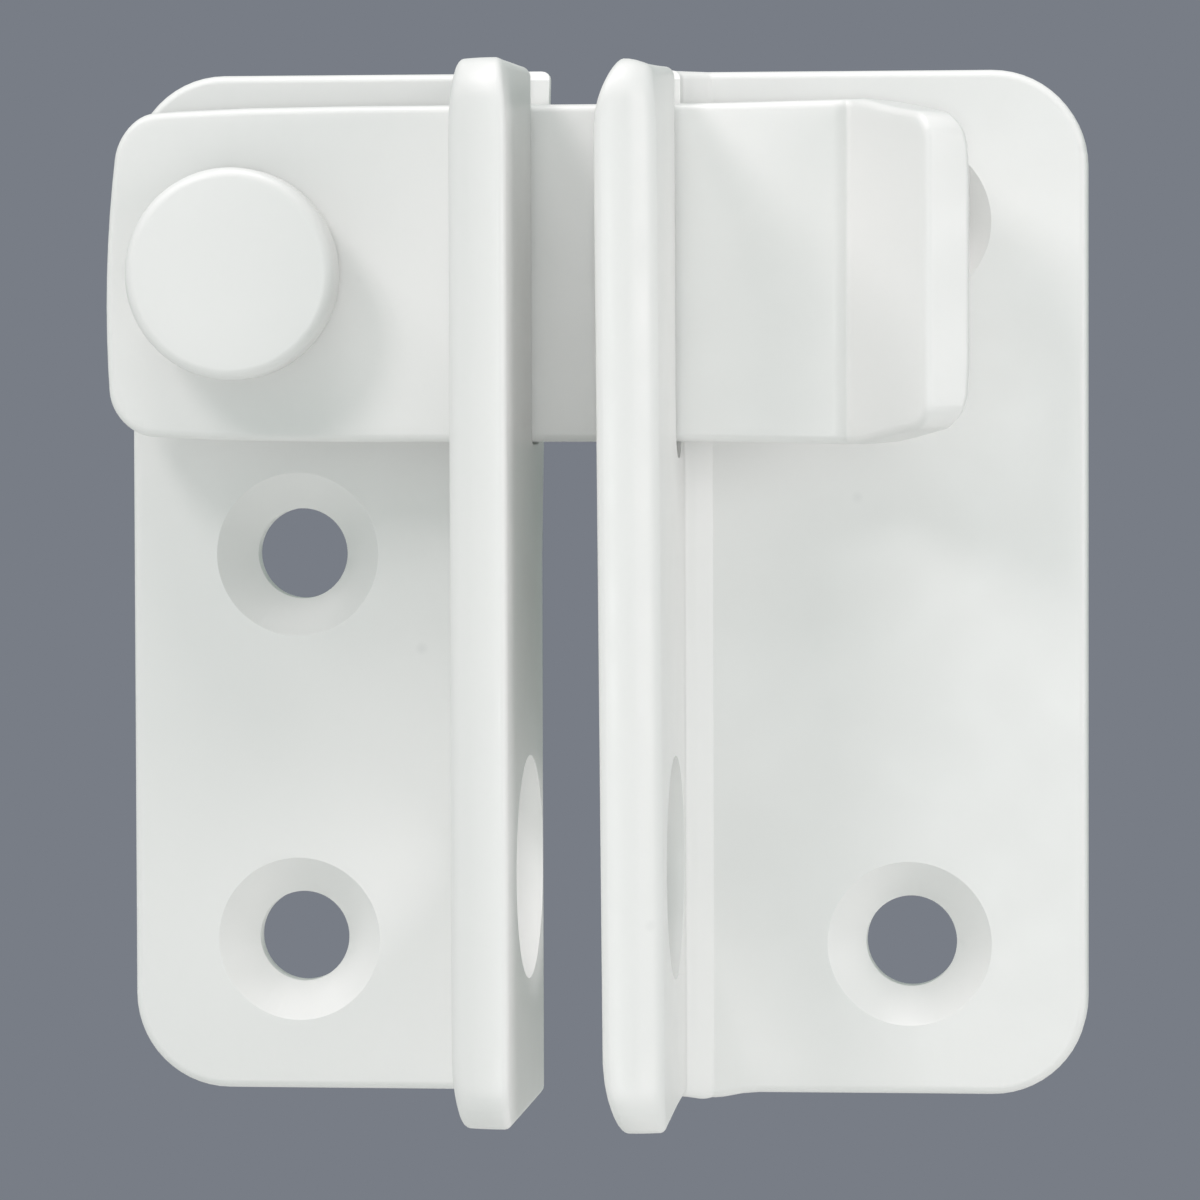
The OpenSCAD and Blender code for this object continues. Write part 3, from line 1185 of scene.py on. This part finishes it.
@dataclass
class Studio:
    """Camera, lamps, backdrop colour and a pale floor that fades into it."""

    backdrop: Colour = (0.188, 0.205, 0.238)
    fill: Colour = (0.74, 0.93, 0.88)
    fill_strength: float = 0.35
    floor_colour: Colour = (0.72, 0.72, 0.71)
    floor_roughness: float = 0.8
    floor_sides: int = 96
    floor_drop: float = 56 * MM
    floor_clear: float = 0.12
    floor_fade: float = 0.27
    floor_radius: float = 2.0
    camera_place: Place = (53.82 * MM, -342.36 * MM, 20.745 * MM)
    camera_yaw: float = math.radians(6.229)
    camera_pitch: float = math.radians(-2.116)
    camera_roll: float = math.radians(-0.177)
    lens: float = 186.35
    sensor: float = 36.0
    clip: tuple[float, float] = (0.01, 20.0)
    lamps: list[Lamp] = field(default_factory=lambda: [
        Lamp("key", (-0.45, -0.7, 0.7), 0.3, 2.5),
        Lamp("left", (-0.7, -0.3, 0.85), 0.3, 2.4),
        Lamp("top", (0.0, -0.25, 0.95), 0.5, 4.5),
        Lamp("side", (0.9, -0.4, 0.1), 0.5, 3.1),
        Lamp("front", (0.1, -0.95, -0.02), 0.1, 1.0, (0.96, 1.0, 1.0)),
    ])

    def build(self) -> None:
        """Makes the whole studio."""
        low, high = (Vector(corner) for corner in CAD_BOUNDS)
        middle = (low + high) / 2
        self._camera()
        self._world()
        self._floor(middle, low.z - self.floor_drop)
        for lamp in self.lamps:
            lamp.build(middle)
        bpy.context.scene.view_settings.view_transform = "Standard"

    def _camera(self) -> None:
        """Places the camera at the photograph's viewing angle."""
        data = bpy.data.cameras.new("camera")
        data.sensor_fit = "HORIZONTAL"
        data.sensor_width = self.sensor
        data.lens = self.lens
        data.clip_start, data.clip_end = self.clip
        camera = bpy.data.objects.new("camera", data)
        yaw, pitch, roll = self.camera_yaw, self.camera_pitch, self.camera_roll
        ahead = Vector((
            -math.sin(yaw) * math.cos(pitch), math.cos(yaw) * math.cos(pitch), math.sin(pitch),
        ))
        right = Vector((math.cos(yaw), math.sin(yaw), 0))
        up = right.cross(ahead)
        level = Matrix((right, up, -ahead)).transposed()
        turn = level @ Matrix.Rotation(roll, 3, "Z")
        camera.matrix_world = Matrix.Translation(self.camera_place) @ turn.to_4x4()
        bpy.context.scene.collection.objects.link(camera)
        bpy.context.scene.camera = camera

    def _world(self) -> None:
        """Lights the scene softly from all round, and shows the plain backdrop behind it."""
        world = bpy.data.worlds.new("studio")
        world.use_nodes = True
        bpy.context.scene.world = world
        tree = world.node_tree
        light = tree.nodes["Background"]
        light.inputs["Color"].default_value = (*self.fill, 1)
        light.inputs["Strength"].default_value = self.fill_strength
        seen = tree.nodes.new("ShaderNodeBackground")
        seen.inputs["Color"].default_value = (*self.backdrop, 1)
        path = tree.nodes.new("ShaderNodeLightPath")
        mix = tree.nodes.new("ShaderNodeMixShader")
        tree.links.new(path.outputs["Is Camera Ray"], mix.inputs["Fac"])
        tree.links.new(light.outputs["Background"], mix.inputs[1])
        tree.links.new(seen.outputs["Background"], mix.inputs[2])
        tree.links.new(mix.outputs["Shader"], tree.nodes["World Output"].inputs["Surface"])

    def _floor(self, middle: Vector, level: float) -> None:
        """Lays the floor.

        Args:
            middle: The latch's middle.
            level: The floor's height.
        """
        mesh = bmesh.new()
        bmesh.ops.create_circle(
            mesh, cap_ends=True, segments=self.floor_sides, radius=self.floor_radius,
            matrix=Matrix.Translation((middle.x, middle.y, level)),
        )
        floor = as_object(mesh, "floor")
        floor.data.materials.append(self._floor_material(middle))

    def _floor_material(self, middle: Vector) -> Material:
        """Makes the floor's material, pale near the latch and fading into the backdrop.

        Args:
            middle: The latch's middle.

        Returns:
            The material.
        """
        material = bpy.data.materials.new("floor")
        material.use_nodes = True
        tree = material.node_tree
        shader = tree.nodes["Principled BSDF"]
        shader.inputs["Base Color"].default_value = (*self.floor_colour, 1)
        shader.inputs["Roughness"].default_value = self.floor_roughness
        coordinates = tree.nodes.new("ShaderNodeTexCoord")
        centre = tree.nodes.new("ShaderNodeMapping")
        centre.inputs["Location"].default_value = (-middle.x, -middle.y, 0)
        centre.inputs["Scale"].default_value = (1, 1, 0)
        length = tree.nodes.new("ShaderNodeVectorMath")
        length.operation = "LENGTH"
        fade = tree.nodes.new("ShaderNodeMapRange")
        fade.interpolation_type = "SMOOTHSTEP"
        fade.inputs["From Min"].default_value = self.floor_clear
        fade.inputs["From Max"].default_value = self.floor_fade
        tree.links.new(coordinates.outputs["Object"], centre.inputs["Vector"])
        tree.links.new(centre.outputs["Vector"], length.inputs[0])
        tree.links.new(length.outputs["Value"], fade.inputs["Value"])
        path = tree.nodes.new("ShaderNodeLightPath")
        both = tree.nodes.new("ShaderNodeMath")
        both.operation = "MULTIPLY"
        tree.links.new(fade.outputs["Result"], both.inputs[0])
        tree.links.new(path.outputs["Is Camera Ray"], both.inputs[1])
        far = tree.nodes.new("ShaderNodeEmission")
        far.inputs["Color"].default_value = (*self.backdrop, 1)
        mix = tree.nodes.new("ShaderNodeMixShader")
        tree.links.new(both.outputs["Value"], mix.inputs["Fac"])
        tree.links.new(shader.outputs["BSDF"], mix.inputs[1])
        tree.links.new(far.outputs["Emission"], mix.inputs[2])
        tree.links.new(mix.outputs["Shader"], tree.nodes["Material Output"].inputs["Surface"])
        return material


def main() -> None:
    """Builds every piece in order, and the studio."""
    logging.basicConfig(level=logging.INFO, format="%(name)s %(message)s")
    coat = PowderCoat()
    bar_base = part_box("latch_bar")[0].z
    FoldedBracket(
        "door_bracket", Side.LEFT, "door_screws",
        notch_floor=bar_base - DOOR_NOTCH_UNDER, notch_near=PIVOT.y - NOTCH_AHEAD,
        top=EndWear(outer=0.4 * MM, inner=0.4 * MM, drop=0.1 * MM, stretch=0.15 * MM),
        low=EndWear(outer=0.05 * MM, inner=0.5 * MM, stretch=0.33 * MM),
    ).build(coat.material("door_bracket_coat", 0.2))
    FoldedBracket(
        "keeper_bracket", Side.RIGHT, "keeper_screws",
        notch_floor=bar_base - KEEPER_NOTCH_UNDER, notch_near=PIVOT.y - NOTCH_AHEAD,
        top=EndWear(outer=1.2 * MM, inner=0.25 * MM, drop=0.6 * MM),
        low=EndWear(outer=0.9 * MM, stretch=0.5 * MM),
        notch_corner=1.8 * MM, bulge=0.5 * MM, tongue_lean=0.2 * MM,
        flange_lean=0.4 * MM, flange_close=0.35 * MM,
    ).build(coat.material("keeper_bracket_coat", 1.1))
    LatchBar().build(coat.material("latch_bar_coat", 2.3))
    PivotRivet().build(coat.material("pivot_rivet_coat", 3.4))
    PivotSpacer().build(coat.material("pivot_spacer_coat", 4.6))
    Studio().build()


if __name__ == "__main__":
    main()
